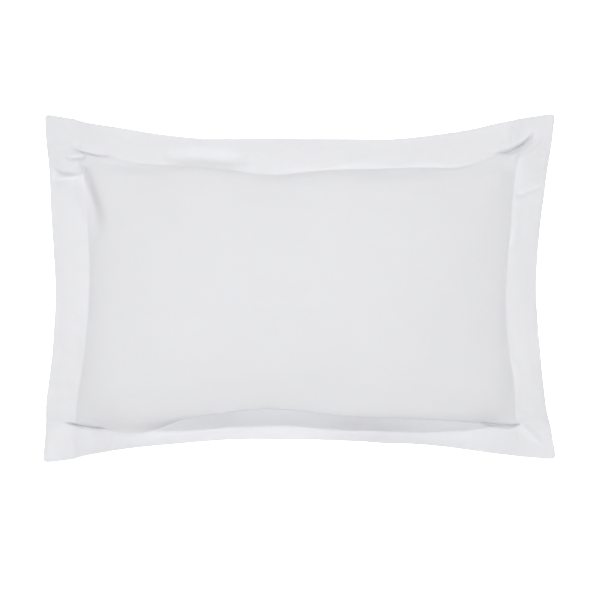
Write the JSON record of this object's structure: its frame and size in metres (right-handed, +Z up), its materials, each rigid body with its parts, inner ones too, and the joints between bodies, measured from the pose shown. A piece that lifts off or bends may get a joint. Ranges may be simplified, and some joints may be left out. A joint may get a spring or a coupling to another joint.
{
  "type": "flanged pillowcase filled by its pillow",
  "caption": "White flanged cotton pillowcase, filled by a bed pillow and lying on its back.",
  "frame": {"origin": "on the surface it lies on, under the centre of its outline", "axes": "+X along the long side to the viewer's right, +Y towards the head edge, +Z up, out of the front face"},
  "size_m": [0.8046, 0.546, 0.1672],
  "materials": {
    "panel_cotton": "matt plain-weave cotton, white, one layer taut over the filling",
    "flange_cotton": "matt plain-weave cotton, white, doubled and pressed"
  },
  "bodies": {
    "root": {"filled_bag": "panel_cotton", "flange": "flange_cotton"}
  },
  "joints": []
}
